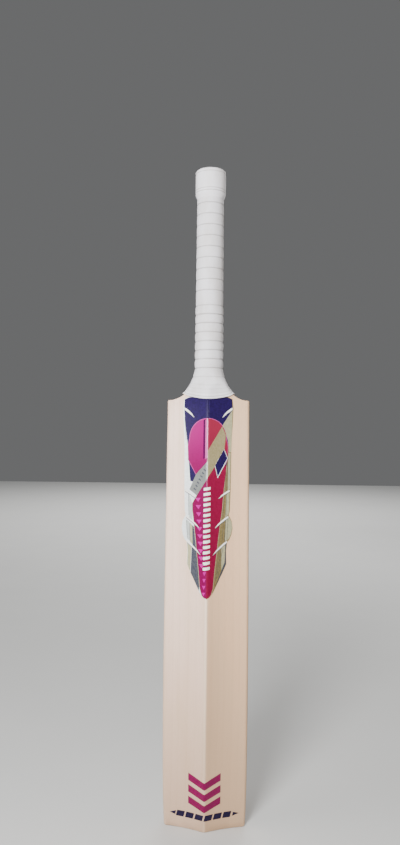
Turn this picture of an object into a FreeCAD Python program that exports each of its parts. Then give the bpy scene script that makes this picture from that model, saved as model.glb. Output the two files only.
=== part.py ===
import FreeCAD, Part
import math
import os

# Full-size cricket bat: a willow blade, a laminated cane handle spliced into it, a twine binding,
# a ribbed rubber grip and the vinyl stickers on its back.
#
# Millimetres. +Z runs up the handle from the toe, +Y points out of the flat hitting face,
# the spine points to -Y, and the origin lies on the flat toe, on the handle's axis.

Vector = FreeCAD.Vector

# ---------------------------------------------------------------- driving dimensions
overall_length = 853.5          # toe to the top of the grip
shoulder_height = 552.0         # toe to the outer corners of the shoulders

blade_width = 108.0             # widest part of the blade
shoulder_width = 107.0
toe_width = 105.0
toe_taper_height = 70.0         # the blade narrows to the toe over this height
toe_corner_radius = 4.0
toe_edge_bevel = 1.2            # bevelled edge round the flat toe
shoulder_corner_radius = 1.6

edge_at_toe = 19.0              # thickness of the blade at its edges
edge_at_swell = 38.0
edge_at_shoulder = 19.0
spine_at_toe = 34.0             # thickness of the blade at its spine
spine_at_swell = 61.0
spine_at_shoulder = 34.0
swell_height = 190.0            # height of the thickest section above the toe
hollow_at_ends = 1.5            # depth of the concave flanks
hollow_at_swell = 3.2
face_setback = 16.4             # handle axis to the face, at the toe and the shoulders
face_bow = 4.0                  # the face bows back by this much between them
face_crown = 1.4                # the face is this much fuller at its middle
front_corner_radius = 3.0
back_corner_radius = 4.5
ridge_half_width = 2.4          # half of the softened strip along the spine

sweep_height = 42.0             # the shoulders sweep up into the handle over this height
handle_bottom_radius = 15.7     # cane, at the top of the sweep
handle_top_radius = 14.9
binding_ledge = 0.3             # the neck stands this far outside the cane it carries
sweep_margin = 0.4              # the sweep's outline clears the neck's round top by this
neck_spine_rise = 6.0           # spine and edges grow by these up the neck, so that it turns round
neck_edge_rise = 12.0
neck_margin = 14.0              # the neck's rounding starts this far outside the shoulders
neck_depth_margin = 4.5
neck_squareness = 2.0           # added to the power 2 of a plain oval at the shoulders

splice_depth = 118.0            # the handle's wedge below the shoulders
splice_top_half_width = 24.0    # at shoulder height
splice_tip_half_width = 4.5

spring_count = 3                # rubber layers between the cane slabs
spring_thickness = 1.6
slab_thickness = 6.3            # the inner cane slabs; the outer ones take what is left
cane_half_width = 8.0           # half of the middle cane; one more lies on each side

twine_thickness = 0.5
twine_top_gap = 2.0             # the binding stops this far below the cane's top

grip_wall = 1.8
skirt_wall = 2.3                # the flared skirt is a little thicker
sleeve_overlap = 8.0            # the sleeve runs on this far into the skirt
cane_recess = 1.5               # the cane's top lies this far below the grip's
grip_end_opening_radius = 13.2  # hole in the grip's turned-in top
grip_end_round = 3.2
collar_height = 30.5
collar_radius = 19.85
collar_groove_height = 4.0      # ring groove above the collar's lower edge
collar_step_height = 8.0        # cone below the collar
rib_groove_width = 0.9
rib_groove_depth = 0.45
upper_rib_pitch = 14.25
upper_rib_count = 9
middle_band = 19.6              # the wide plain band between the two sets of ribs
lower_rib_pitch = 11.62
skirt_side_height = 7.1         # the grip's lower edge above the shoulder corners, at its sides
skirt_middle_height = 2.0       # and at the spine

vinyl_thickness = 0.25
sticker_gap = 0.7               # between the grip's lower edge and the spine sticker
sticker_head_height = 4.5       # the spine sticker's top corners above the shoulders
toe_badge_top = 80.0            # height of the three chevrons' tops above the toe
toe_badge_half_width = 20.5
chevron_count = 3
chevron_pitch = 16.0
chevron_stroke = 10.0
chevron_drop = 9.0              # each one's middle lies this far below its ends
toe_bar_height = 20.9           # middle of the navy bar above the toe
toe_bar_half_length = 44.5
toe_bar_half_body = 35.0
toe_bar_half_thickness = 4.2

section_count = 12              # sections of the blade below the shoulders
outline_margin = 6.0            # cutting outlines stand this far outside the blade
through = 200.0                 # longer than any thickness

# ---------------------------------------------------------------- worked out from them
sweep_top = shoulder_height + sweep_height
half_shoulder = shoulder_width / 2
neck_top_radius = handle_bottom_radius + binding_ledge
neck_face_rise = max(0.0, neck_top_radius + sweep_margin - face_setback)
cane_top = overall_length - cane_recess
collar_bottom = overall_length - collar_height
twine_top = cane_top - twine_top_gap
sleeve_bottom = sweep_top - sleeve_overlap


# ---------------------------------------------------------------- profiles along the bat
def swelling(z, at_toe, at_swell, at_shoulder):
    """A thickness at height z, which rises from the toe to the swell and falls to the shoulders."""
    if z <= swell_height:
        return at_toe + (at_swell - at_toe) * math.sin(math.pi / 2 * z / swell_height)
    share = min(1.0, (z - swell_height) / (shoulder_height - swell_height))
    return at_shoulder + (at_swell - at_shoulder) * (0.5 + 0.5 * math.cos(math.pi * share))


def neck_share(z):
    """0 at the shoulders and below, 1 at the top of the sweep."""
    return max(0.0, (z - shoulder_height) / sweep_height)


def half_width(z):
    if z < toe_taper_height:
        return blade_width / 2 - (blade_width - toe_width) / 2 * (1 - z / toe_taper_height) ** 2
    share = min(1.0, (z - toe_taper_height) / (shoulder_height - toe_taper_height))
    return (blade_width + (shoulder_width - blade_width) * share ** 2) / 2


def face_y(z):
    share = min(1.0, z / shoulder_height)
    return face_setback - face_bow * math.sin(math.pi * share)


def handle_radius(z):
    share = (z - sweep_top) / (cane_top - sweep_top)
    return handle_bottom_radius + (handle_top_radius - handle_bottom_radius) * share


def sweep_half_width(z, skin=0.0):
    """Half of the width across the shoulders' sweep, a quarter ellipse, grown by a skin."""
    across = half_shoulder - neck_top_radius - sweep_margin - skin
    up = sweep_height - skin
    share = min(1.0, max(0.0, (sweep_top - z) / up))
    return half_shoulder - across * math.sqrt(1 - share ** 2)


# ---------------------------------------------------------------- shape helpers
def line(a, b):
    return Part.LineSegment(a, b).toShape()


def arc(a, middle, b):
    return Part.Arc(a, middle, b).toShape()


def round_corner(start, end, corner, radius):
    """Quarter-round edge from start to end, whose square corner would be at corner."""
    centre = start + end - corner
    middle = centre + (corner - centre).normalize() * radius
    return arc(start, middle, end)


def loft(wires):
    return Part.makeLoft(wires, True, False, False)


def slab(x0, x1, y0, y1, z0, z1):
    return Part.makeBox(x1 - x0, y1 - y0, z1 - z0, Vector(x0, y0, z0))


def prism(edges, y0=-through / 2, y1=through / 2):
    """A closed outline in the XZ plane, carried through from y0 to y1."""
    face = Part.Face(Part.Wire(Part.__sortEdges__(edges)))
    face.translate(Vector(0, y0, 0))
    return face.extrude(Vector(0, y1 - y0, 0))


def mirrored(points):
    """A right-hand run of (x, z) points, then the same on the left, as a closed polygon's edges."""
    left = [(-x, z) for x, z in reversed(points) if x > 0]
    ring = [Vector(x, 0, z) for x, z in points + left]
    return [line(a, b) for a, b in zip(ring, ring[1:] + ring[:1])]


# ---------------------------------------------------------------- willow and cane, as one outer shape
def blade_section(z, skin=0.0):
    """The blade's section at height z: crowned face, rounded edges, hollow flanks, soft ridge."""
    half = half_width(z) + skin
    rise = neck_share(z)
    front = face_y(z) + rise * neck_face_rise + skin
    edge = swelling(z, edge_at_toe, edge_at_swell, edge_at_shoulder) + rise * neck_edge_rise
    spine = swelling(z, spine_at_toe, spine_at_swell, spine_at_shoulder) + rise * neck_spine_rise
    hollow = swelling(z, hollow_at_ends, hollow_at_swell, hollow_at_ends)
    side_front = front - face_crown
    side_back = front - edge - 2 * skin
    ridge = front - spine - 2 * skin
    flank_run = half - back_corner_radius - ridge_half_width
    slope = (side_back - ridge) / (half - back_corner_radius)
    ridge_slope = slope + 4 * hollow / flank_run
    ridge_side = ridge + ridge_half_width * ridge_slope / 2
    flank_middle_x = ridge_half_width + flank_run / 2
    flank_middle_y = (ridge_side + side_back) / 2 + hollow

    def at(x, y):
        return Vector(x, y, z)

    def corner(side):
        """The two rounded corners and the straight edge between them, face to back."""
        face_end = at(side * (half - front_corner_radius), side_front)
        edge_front = at(side * half, side_front - front_corner_radius)
        edge_back = at(side * half, side_back + back_corner_radius)
        flank_end = at(side * (half - back_corner_radius), side_back)
        return [
            round_corner(face_end, edge_front, at(side * half, side_front), front_corner_radius),
            line(edge_front, edge_back),
            round_corner(edge_back, flank_end, at(side * half, side_back), back_corner_radius),
            arc(
                flank_end,
                at(side * flank_middle_x, flank_middle_y),
                at(side * ridge_half_width, ridge_side),
            ),
        ]

    def turned(edge):
        """The same edge, drawn the other way."""
        middle = edge.valueAt((edge.FirstParameter + edge.LastParameter) / 2)
        first, last = edge.valueAt(edge.FirstParameter), edge.valueAt(edge.LastParameter)
        if edge.Curve.TypeId == "Part::GeomLine":
            return line(last, first)
        return arc(last, middle, first)

    face = arc(
        at(-(half - front_corner_radius), side_front),
        at(0, front),
        at(half - front_corner_radius, side_front),
    )
    crest = arc(
        at(ridge_half_width, ridge_side),
        at(0, ridge),
        at(-ridge_half_width, ridge_side),
    )
    return Part.Wire([face, *corner(1), crest, *[turned(e) for e in reversed(corner(-1))]])


def blade_block(skin=0.0, lowest=0.0):
    """The blade's sections lofted from the toe to above the sweep, before the shoulders are cut."""
    step = shoulder_height / section_count
    heights = [step * i for i in range(section_count + 1) if step * i >= lowest]
    heights += [shoulder_height + sweep_height * share for share in (0.5, 1.1)]
    return loft([blade_section(z, skin) for z in heights])


def body_outline():
    """The back view: rounded toe corners, square shoulders and the sweep up to the handle."""
    toe = toe_width / 2
    wide = max(blade_width, shoulder_width, toe_width) / 2 + outline_margin
    rim_x = neck_top_radius + sweep_margin
    top = sweep_top + outline_margin
    edges = []
    for side in (1, -1):

        def at(x, z):
            return Vector(side * x, 0, z)

        toe_flat = at(toe - toe_corner_radius, 0)
        toe_side = at(toe, toe_corner_radius)
        edges.append(round_corner(toe_flat, toe_side, at(toe, 0), toe_corner_radius))
        flare = at(wide, toe_corner_radius + wide - toe)
        under_shoulder = at(wide, shoulder_height - shoulder_corner_radius - outline_margin)
        shoulder_side = at(half_shoulder, shoulder_height - shoulder_corner_radius)
        edges += [line(toe_side, flare), line(flare, under_shoulder)]
        edges.append(line(under_shoulder, shoulder_side))
        sweep_start = at(half_shoulder - shoulder_corner_radius, shoulder_height)
        square = at(half_shoulder, shoulder_height)
        edges.append(round_corner(shoulder_side, sweep_start, square, shoulder_corner_radius))
        foot = at(half_shoulder - shoulder_corner_radius, sweep_top)
        across = half_shoulder - shoulder_corner_radius - rim_x
        edges += quarter_ellipse(foot, across, sweep_height, side)
        edges.append(line(Vector(side * rim_x, 0, sweep_top), Vector(side * rim_x, 0, top)))
    edges.append(line(Vector(rim_x, 0, top), Vector(-rim_x, 0, top)))
    edges.append(
        line(Vector(toe - toe_corner_radius, 0, 0), Vector(toe_corner_radius - toe, 0, 0))
    )
    return edges


def quarter_ellipse(centre, across, up, side):
    """The sweep's edge, from straight below the centre to its handle side."""
    points = []
    for i in range(13):
        angle = math.pi / 2 * i / 12
        points.append(centre + Vector(-side * across * math.sin(angle), 0, -up * math.cos(angle)))
    curve = Part.BSplineCurve()
    curve.interpolate(
        Points=points,
        InitialTangent=Vector(-side * across, 0, 0),
        FinalTangent=Vector(0, 0, up),
    )
    return [curve.toShape()]


def oval(z, half_across, half_deep, power):
    """A closed oval at height z; power 2 is an ellipse, and more is squarer."""
    points = []
    count = 32
    for i in range(count):
        angle = 2 * math.pi * (i + 0.5) / count
        c, s = math.cos(angle), math.sin(angle)
        x = half_across * math.copysign(abs(c) ** (2 / power), c)
        y = half_deep * math.copysign(abs(s) ** (2 / power), s)
        points.append(Vector(x, y, z))
    curve = Part.BSplineCurve()
    curve.interpolate(Points=points, PeriodicFlag=True)
    return Part.Wire([curve.toShape()])


def neck_rounding(skin=0.0):
    """The trumpet that rounds the neck off, from the shoulders to the handle's round section."""
    wires = []
    for share in (0.0, 0.2, 0.4, 0.6, 0.8, 1.0):
        z = shoulder_height + sweep_height * share
        left = (1 - share) ** 2
        across = sweep_half_width(z) - sweep_margin + (neck_margin + sweep_margin) * left + skin
        deep = neck_top_radius + neck_depth_margin * (1 - share) + skin
        wires.append(oval(z, across, deep, 2 + neck_squareness * (1 - share)))
    return loft(wires)


def below_shoulders():
    reach = blade_width
    return slab(-reach, reach, -reach, reach, -1, shoulder_height)


def make_neck(block):
    """The part of the block that sweeps up from the shoulders to the round handle."""
    return block.cut(below_shoulders()).common(neck_rounding())


def make_wood(block):
    """Blade and handle as one outer shape, before the splice divides them."""
    blade = block.common(below_shoulders())
    neck = make_neck(block)
    rod = handle_cone(handle_radius, cane_top)
    return blade.fuse([neck, rod]).removeSplitter()


def splice_prism():
    """The wedge that the handle fills: a V below the shoulders, open above them."""
    slope = (splice_top_half_width - splice_tip_half_width) / splice_depth
    tip = shoulder_height - splice_depth
    top = overall_length + outline_margin
    wide = splice_tip_half_width + slope * (top - tip)
    return prism(mirrored([(splice_tip_half_width, tip), (wide, top)]))


def soften_toe(blade):
    """Bevels the edge where the flat toe meets the rest of the blade."""
    reach = 10 * toe_edge_bevel
    block = slab(-blade_width, blade_width, -blade_width, blade_width, -1, reach)
    flare = Part.makeLoft(
        [
            blade_section(-1, -1 - toe_edge_bevel),
            blade_section(reach + 1, reach + 1 - toe_edge_bevel),
        ],
        True,
        True,
    )
    return blade.cut(block.cut(flare))


# ---------------------------------------------------------------- what the handle is laminated from
def spring_ranges():
    """The y ranges of the rubber springs, from the face to the back."""
    pitch = slab_thickness + spring_thickness
    middle = (spring_count - 1) / 2
    centres = [pitch * (middle - i) for i in range(spring_count)]
    return [(c - spring_thickness / 2, c + spring_thickness / 2) for c in centres]


def slab_ranges():
    """The y ranges of the cane slabs between and outside the springs."""
    springs = spring_ranges()
    highs = [through / 2] + [low for low, _ in springs]
    lows = [high for _, high in springs] + [-through / 2]
    return list(zip(lows, highs))


def cane_columns():
    return {
        "left": (-through / 2, -cane_half_width),
        "middle": (-cane_half_width, cane_half_width),
        "right": (cane_half_width, through / 2),
    }


def laminations(handle):
    """Every cane strip and rubber spring of the handle, by node name."""
    low, high = -1.0, overall_length + 1.0
    far = through / 2
    made = {}
    for row, (y0, y1) in enumerate(slab_ranges(), start=1):
        for column, (x0, x1) in cane_columns().items():
            made[f"cane_row{row}_{column}"] = handle.common(slab(x0, x1, y0, y1, low, high))
    for number, (y0, y1) in enumerate(spring_ranges(), start=1):
        made[f"rubber_spring_{number}"] = handle.common(slab(-far, far, y0, y1, low, high))
    return made


# ---------------------------------------------------------------- binding and grip
def wound_radius(z):
    """Outside of the twine binding."""
    return handle_radius(z) + twine_thickness


def handle_cone(radius_at, top):
    """A tapering solid round the handle's axis, from the top of the sweep up."""
    foot = Vector(0, 0, sweep_top)
    return Part.makeCone(radius_at(sweep_top), radius_at(top), top - sweep_top, foot)


def make_twine():
    """The binding, wound tight from the top of the sweep to just below the cane's end."""
    return handle_cone(wound_radius, twine_top).cut(handle_cone(handle_radius, twine_top))


def rib_heights():
    """Heights of the ring grooves below the collar, from the top down."""
    heights = [collar_bottom - upper_rib_pitch * i for i in range(1, upper_rib_count + 1)]
    z = heights[-1] - middle_band
    while z > sweep_top + rib_groove_width:
        heights.append(z)
        z -= lower_rib_pitch
    return [h for h in heights if h > sweep_top + rib_groove_width]


def grip_radius(z):
    return wound_radius(z) + grip_wall


def grip_sleeve_outline():
    """Half section of the grip's outside above the sweep: its rounded top, collar and ribs."""
    step_bottom = collar_bottom - collar_step_height
    groove = collar_bottom + collar_groove_height
    half_groove = rib_groove_width / 2
    top_flat = collar_radius - grip_end_round

    def at(radius, z):
        return Vector(radius, 0, z)

    shoulder = at(collar_radius, overall_length - grip_end_round)
    square = at(collar_radius, overall_length)
    run = [
        shoulder,
        at(collar_radius, groove + half_groove),
        at(collar_radius - rib_groove_depth, groove),
        at(collar_radius, groove - half_groove),
        at(collar_radius, collar_bottom),
        at(grip_radius(step_bottom), step_bottom),
    ]
    for z in rib_heights():
        run.append(at(grip_radius(z + half_groove), z + half_groove))
        run.append(at(grip_radius(z) - rib_groove_depth, z))
        run.append(at(grip_radius(z - half_groove), z - half_groove))
    run += [at(grip_radius(sleeve_bottom), sleeve_bottom), at(0, sleeve_bottom)]
    run += [at(0, overall_length), at(top_flat, overall_length)]
    edges = [line(a, b) for a, b in zip(run, run[1:])]
    return edges + [round_corner(run[-1], shoulder, square, grip_end_round)]


def sleeve_outside():
    face = Part.Face(Part.Wire(Part.__sortEdges__(grip_sleeve_outline())))
    return face.revolve(Vector(0, 0, 0), Vector(0, 0, 1), 360)


def skirt_edge_z(x):
    """Height of the skirt's sagging lower edge, an arc from side to side, at x."""
    side_z = shoulder_height + skirt_side_height
    sag = skirt_side_height - skirt_middle_height
    half_chord = sweep_half_width(side_z, skirt_wall)
    radius = (half_chord ** 2 + sag ** 2) / (2 * sag)
    return side_z - sag + radius - math.sqrt(radius ** 2 - x ** 2)


def skirt_outline():
    """The skirt's back view: its lower edge and the sweep, one wall outside the wood."""
    side_z = shoulder_height + skirt_side_height
    steps = 10
    rights = []
    for i in range(steps + 1):
        z = side_z + (sweep_top - side_z) * (i / steps) ** 1.5
        rights.append(Vector(sweep_half_width(z, skirt_wall), 0, z))
    edges = []
    for side in (1, -1):
        curve = Part.BSplineCurve()
        curve.interpolate(Points=[Vector(side * p.x, 0, p.z) for p in rights])
        edges.append(curve.toShape())
    end, rim = rights[0], rights[-1]
    edges.append(arc(Vector(-end.x, 0, end.z), Vector(0, 0, skirt_edge_z(0)), end))
    edges.append(line(Vector(-rim.x, 0, rim.z), rim))
    return edges


def skirt_outside():
    """The flared lower end of the grip, filled in."""
    outer = blade_block(skirt_wall, lowest=shoulder_height / 2)
    return outer.common(prism(skirt_outline())).common(neck_rounding(skirt_wall))


def make_grip(neck):
    """The rubber sleeve: its outside, less the neck, the binding, the cane and the open top."""
    outside = sleeve_outside().fuse(skirt_outside())
    core = handle_cone(wound_radius, twine_top)
    tip = Part.makeCone(
        handle_radius(twine_top), handle_top_radius, twine_top_gap, Vector(0, 0, twine_top)
    )
    opening = Part.makeCylinder(grip_end_opening_radius, 2 * cane_recess, Vector(0, 0, cane_top))
    grip = outside
    for hollow in (neck, core, tip, opening):
        grip = grip.cut(hollow)
    return grip


# ---------------------------------------------------------------- stickers
def on_the_back(wood, outlines):
    """Vinyl cut to (x, z) polygons and laid on the back of the bat."""
    lifted = wood.copy()
    lifted.translate(Vector(0, -vinyl_thickness, 0))
    pieces = []
    for edges in outlines:
        cutter = prism(edges, -through / 2, 0)
        pieces += lifted.common(cutter).cut(wood).Solids
    return Part.makeCompound(pieces) if len(pieces) > 1 else pieces[0]


def spine_sticker_outline():
    """The long back sticker: a head tucked up to the grip, leaf-shaped lobes and a rounded point."""
    head = shoulder_height + sticker_head_height
    under_grip = [(x, skirt_edge_z(x) - sticker_gap) for x in (0.0, 7.0, 14.0, 20.0)]
    below_head = [
        (25.2, 0.0),
        (31.2, 2.6),
        (32.6, 14.5),
        (32.0, 32.0),
        (30.8, 53.0),
        (30.2, 72.0),
        (29.8, 119.0),
        (28.9, 146.0),
        (27.6, 152.0),
        (31.6, 160.0),
        (32.6, 169.0),
        (31.0, 177.0),
        (28.4, 183.0),
        (25.8, 185.5),
        (24.6, 196.0),
        (25.0, 213.0),
        (20.4, 223.0),
        (8.6, 246.5),
        (4.6, 251.8),
        (0.0, 254.2),
    ]
    return mirrored(under_grip + [(x, head - drop) for x, drop in below_head])


def toe_chevrons():
    made = []
    for i in range(chevron_count):
        top = toe_badge_top - chevron_pitch * i
        made.append(
            mirrored(
                [
                    (0.0, top - chevron_drop),
                    (toe_badge_half_width, top),
                    (toe_badge_half_width, top - chevron_stroke),
                    (0.0, top - chevron_drop - chevron_stroke),
                ]
            )
        )
    return made


def toe_bar_outline():
    return mirrored(
        [
            (toe_bar_half_body, toe_bar_height + toe_bar_half_thickness),
            (toe_bar_half_length, toe_bar_height),
            (toe_bar_half_body, toe_bar_height - toe_bar_half_thickness),
        ]
    )


# ---------------------------------------------------------------- the nodes
def build():
    block = blade_block().common(prism(body_outline()))
    wood = make_wood(block)
    wedge = splice_prism()
    handle = wood.common(wedge)
    blade = soften_toe(wood.cut(wedge))
    nodes = {"willow_blade": blade}
    nodes.update(laminations(handle))
    nodes["twine_binding"] = make_twine()
    nodes["rubber_grip"] = make_grip(make_neck(block))
    nodes["spine_sticker"] = on_the_back(wood, [spine_sticker_outline()])
    nodes["toe_chevron_sticker"] = on_the_back(wood, toe_chevrons())
    nodes["toe_bar_sticker"] = on_the_back(wood, [toe_bar_outline()])
    return nodes


def main():
    os.makedirs("parts", exist_ok=True)
    for name, shape in build().items():
        solids = shape.Solids
        volume = sum(s.Volume for s in solids)
        print(f"{name}: {len(solids)} solid(s), {volume:.1f} mm3, valid {shape.isValid()}")
        shape.exportStep(f"parts/{name}.step")


main()
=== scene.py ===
# %% [markdown]
# # A cricket bat
# A real bat is a few plain things joined well: a willow blade, a handle of glued cane wedged into it, a
# binding of twine, a rubber grip pulled over the top, and vinyl stickers on the back. The CAD frame holds
# each of them as a solid of the right size. Here they get their surfaces, so the first step loads that
# frame and keeps its overall box.

# %% Load the frame
import math

import bmesh
import bpy
import numpy as np
from mathutils import Matrix, Vector
from mathutils.bvhtree import BVHTree


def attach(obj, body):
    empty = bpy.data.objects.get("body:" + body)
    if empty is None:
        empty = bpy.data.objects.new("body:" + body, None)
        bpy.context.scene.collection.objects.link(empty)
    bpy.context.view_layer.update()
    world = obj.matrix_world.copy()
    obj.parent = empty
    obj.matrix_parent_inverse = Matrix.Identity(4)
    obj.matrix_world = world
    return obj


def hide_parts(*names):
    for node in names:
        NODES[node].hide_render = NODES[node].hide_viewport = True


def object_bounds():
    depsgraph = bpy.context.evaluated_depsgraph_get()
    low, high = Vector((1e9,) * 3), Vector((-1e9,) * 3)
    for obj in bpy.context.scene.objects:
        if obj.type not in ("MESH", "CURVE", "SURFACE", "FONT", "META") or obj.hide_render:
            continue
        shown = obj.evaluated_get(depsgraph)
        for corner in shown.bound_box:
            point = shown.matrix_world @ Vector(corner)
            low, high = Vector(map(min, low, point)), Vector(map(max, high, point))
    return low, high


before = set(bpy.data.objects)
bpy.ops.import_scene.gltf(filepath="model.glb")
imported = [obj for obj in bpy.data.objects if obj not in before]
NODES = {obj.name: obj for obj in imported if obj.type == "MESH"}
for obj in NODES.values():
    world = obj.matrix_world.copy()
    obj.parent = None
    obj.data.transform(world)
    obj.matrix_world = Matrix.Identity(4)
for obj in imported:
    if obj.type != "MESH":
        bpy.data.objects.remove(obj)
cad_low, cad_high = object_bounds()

MM = 0.001
print("frame:", len(NODES), "nodes,", round((cad_high - cad_low).z, 4), "m tall")

# %% [markdown]
# ## Small helpers
# Every piece ends the same way: it gets its material, rides on the bat's one body, and hides the frame's
# solids that it stands for. A smooth surface is shaded smooth, with its real corners kept sharp by angle.


# %% Helpers for pieces
def new_object(name, data):
    thing = bpy.data.objects.new(name, data)
    bpy.context.scene.collection.objects.link(thing)
    return thing


def place(name, mesh, material, slot, *stands_for):
    """Puts a finished mesh into the scene as a piece of the bat."""
    piece = new_object(name, mesh)
    mesh.materials.clear()
    mesh.materials.append(material)
    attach(piece, "root")
    if stands_for:
        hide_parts(*stands_for)
    print(f"{name}: {len(mesh.polygons)} faces")


def shade_smooth(mesh, degrees):
    mesh.shade_smooth()
    mesh.set_sharp_from_angle(angle=math.radians(degrees))


def merged_copy(node):
    """A node's mesh with its loose triangles joined up."""
    mesh = NODES[node].data.copy()
    work = bmesh.new()
    work.from_mesh(mesh)
    bmesh.ops.remove_doubles(work, verts=work.verts, dist=1e-6)
    work.to_mesh(mesh)
    work.free()
    return mesh


def mesh_from(work, name):
    """Turns a bmesh into a mesh whose faces all point outwards."""
    bmesh.ops.remove_doubles(work, verts=work.verts, dist=1e-7)
    bmesh.ops.recalc_face_normals(work, faces=work.faces)
    mesh = bpy.data.meshes.new(name)
    work.to_mesh(mesh)
    work.free()
    return mesh


# %% [markdown]
# ## Helpers for materials
# A material is a graph of nodes, and most of it is sums on numbers. Two small functions keep that
# readable: `add` makes a node and fills its sockets, from a number or from another node's output, and
# `Tree.math` writes one sum. Materials end alike, so `paint` and `emboss` are shared.


# %% A short way to write node graphs
class Tree:
    """A node tree with short calls to add nodes and sums."""

    def __init__(self, tree):
        self.tree = tree

    def add(self, kind, settings=None, **sockets):
        node = self.tree.nodes.new(kind)
        for key, value in (settings or {}).items():
            setattr(node, key, value)
        for key, value in sockets.items():
            self.feed(node.inputs[key.replace("_", " ")], value)
        return node

    def feed(self, socket, value):
        if isinstance(value, bpy.types.NodeSocket):
            self.tree.links.new(value, socket)
        else:
            socket.default_value = value

    def math(self, operation, *values):
        node = self.tree.nodes.new("ShaderNodeMath")
        node.operation = operation
        for socket, value in zip(node.inputs, values):
            self.feed(socket, value)
        return node.outputs[0]

    def smooth_step(self, value, low, high, to_low=0.0, to_high=1.0):
        node = self.tree.nodes.new("ShaderNodeMapRange")
        node.interpolation_type = "SMOOTHSTEP"
        for socket, number in zip(node.inputs, (value, low, high, to_low, to_high)):
            self.feed(socket, number)
        return node.outputs[0]

    def noise(self, vector, detail=2.0, roughness=0.5):
        """Noise over a vector that is already scaled, from about 0 to 1."""
        node = self.add("ShaderNodeTexNoise", Vector=vector, Scale=1.0)
        node.inputs["Detail"].default_value = detail
        node.inputs["Roughness"].default_value = roughness
        return node.outputs["Fac"]

    def split(self, vector):
        return self.add("ShaderNodeSeparateXYZ", Vector=vector).outputs

    def scaled(self, vector, x, y, z):
        node = self.add("ShaderNodeVectorMath", {"operation": "MULTIPLY"})
        self.feed(node.inputs[0], vector)
        node.inputs[1].default_value = (x, y, z)
        return node.outputs[0]

    def mix(self, share, low, high):
        """Mixes two colours, given as outputs or as (r, g, b)."""
        node = self.tree.nodes.new("ShaderNodeMix")
        node.data_type = "RGBA"
        self.feed(node.inputs[0], share)
        for socket, colour in ((node.inputs[6], low), (node.inputs[7], high)):
            self.feed(socket, colour if isinstance(colour, bpy.types.NodeSocket) else (*colour, 1.0))
        return node.outputs[2]


def new_material(name):
    """A material, its node tree and its Principled shader."""
    material = bpy.data.materials.new(name)
    material.use_nodes = True
    tree = Tree(material.node_tree)
    return material, tree, material.node_tree.nodes["Principled BSDF"]


def new_group(name, inputs, outputs, kind="ShaderNodeTree", gives="NodeSocketFloat"):
    """A group with inputs as (label, kind, value), and outputs that all give the same kind."""
    group = bpy.data.node_groups.new(name, kind)
    for label, takes, value in inputs:
        socket = group.interface.new_socket(label, in_out="INPUT", socket_type=takes)
        if value is not None:
            socket.default_value = value
    for label in outputs:
        group.interface.new_socket(label, in_out="OUTPUT", socket_type=gives)
    tree = Tree(group)
    return group, tree, tree.add("NodeGroupInput").outputs, tree.add("NodeGroupOutput").inputs


def new_shaping_tree(name, inputs):
    """A Geometry Nodes tree that makes a mesh from a mesh and these inputs."""
    shape = "NodeSocketGeometry"
    return new_group(name, [("Geometry", shape, None), *inputs], ["Geometry"], "GeometryNodeTree", shape)


def use_group(tree, group, **sockets):
    node = tree.tree.nodes.new("ShaderNodeGroup")
    node.node_tree = group
    for key, value in sockets.items():
        tree.feed(node.inputs[key.replace("_", " ")], value)
    return node.outputs


def object_place(tree):
    return tree.add("ShaderNodeTexCoord").outputs["Object"]


def paint(tree, shader, colour, pattern, span, least):
    """Sets the colour, and a roughness that is span times a pattern, plus least."""
    tree.feed(shader.inputs["Base Color"], colour)
    tree.feed(shader.inputs["Roughness"], tree.math("MULTIPLY_ADD", pattern, span, least))


def emboss(tree, shader, height, strength, distance):
    """Bump from a height, which tilts the light and leaves the shape as it is."""
    bump = tree.add("ShaderNodeBump", Strength=strength, Distance=distance, Height=height)
    tree.feed(shader.inputs["Normal"], bump.outputs[0])


def rgb(red, green, blue):
    """A colour given as on a paint card, 0 to 255, turned into the linear numbers a shader wants."""
    return tuple(
        c / 12.92 if c <= 0.04045 else ((c + 0.055) / 1.055) ** 2.4
        for c in (red / 255, green / 255, blue / 255)
    )


# %% [markdown]
# ## Wood
# Willow is cleft so that its growth rings run straight down the bat, and on the back they show as thin
# lines from shoulder to toe. Cane has the same kind of figure, closer and darker. One group draws it for
# both: rings are slices across the bat, bent a little by a slow noise, and fibres are noise stretched
# along the grain. A group keeps the two woods alike and each keeps its own numbers.


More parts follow.
